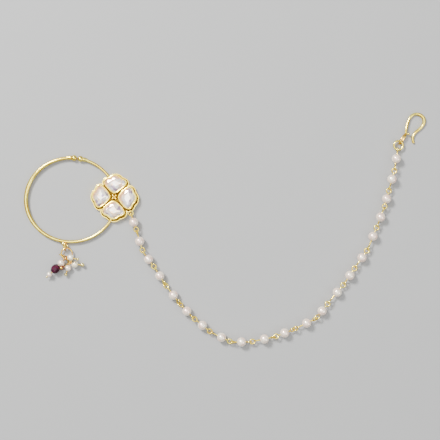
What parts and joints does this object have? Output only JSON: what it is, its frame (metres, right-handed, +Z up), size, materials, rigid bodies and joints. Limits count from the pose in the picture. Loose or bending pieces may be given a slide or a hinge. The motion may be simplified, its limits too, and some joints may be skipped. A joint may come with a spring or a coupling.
{
  "type": "nath nose ring",
  "caption": "Nath nose ring: gold hoop that opens between ball ends, a stone-set flower, a small charm cluster and a pearl support chain ending in a hair hook.",
  "frame": {"origin": "middle of the footprint at table height, the ring and its chain lying flat", "axes": "+X from the hoop to the hair hook, +Y up the page, +Z up from the table"},
  "size_m": [0.1762, 0.1024, 0.0059],
  "materials": {
    "gold": "polished yellow gold plating",
    "clear_stone": "clear faceted stone over foil",
    "pearl": "white pearl lustre",
    "cream_pearl": "cream pearl lustre",
    "ruby_glass": "ruby coloured faceted glass"
  },
  "bodies": {
    "root": {"charm_pearl_left": "pearl", "charm_pearl_lower_middle": "pearl", "charm_pearl_lower_right": "cream_pearl", "charm_pearl_upper_right": "cream_pearl", "charm_pin_left": "gold", "charm_pin_lower_middle": "gold", "charm_pin_lower_right": "gold", "charm_pin_upper_right": "gold", "charm_pin_upright": "gold", "charm_ring": "gold", "end_ring": "gold", "eye_pin_01": "gold", "eye_pin_02": "gold", "eye_pin_03": "gold", "eye_pin_04": "gold", "eye_pin_05": "gold", "eye_pin_06": "gold", "eye_pin_07": "gold", "eye_pin_08": "gold", "eye_pin_09": "gold", "eye_pin_10": "gold", "eye_pin_11": "gold", "eye_pin_12": "gold", "eye_pin_13": "gold", "eye_pin_14": "gold", "eye_pin_15": "gold", "eye_pin_16": "gold", "eye_pin_17": "gold", "eye_pin_18": "gold", "eye_pin_19": "gold", "eye_pin_20": "gold", "eye_pin_21": "gold", "hair_hook": "gold", "hoop_and_flower_setting": "gold", "pearl_01": "pearl", "pearl_02": "pearl", "pearl_03": "pearl", "pearl_04": "pearl", "pearl_05": "pearl", "pearl_06": "pearl", "pearl_07": "pearl", "pearl_08": "pearl", "pearl_09": "pearl", "pearl_10": "pearl", "pearl_11": "pearl", "pearl_12": "pearl", "pearl_13": "pearl", "pearl_14": "pearl", "pearl_15": "pearl", "pearl_16": "pearl", "pearl_17": "pearl", "pearl_18": "pearl", "pearl_19": "pearl", "pearl_20": "pearl", "pearl_21": "pearl", "ruby_bead": "ruby_glass", "stone_bottom": "clear_stone", "stone_left": "clear_stone", "stone_right": "clear_stone", "stone_top": "clear_stone"}
  },
  "joints": []
}
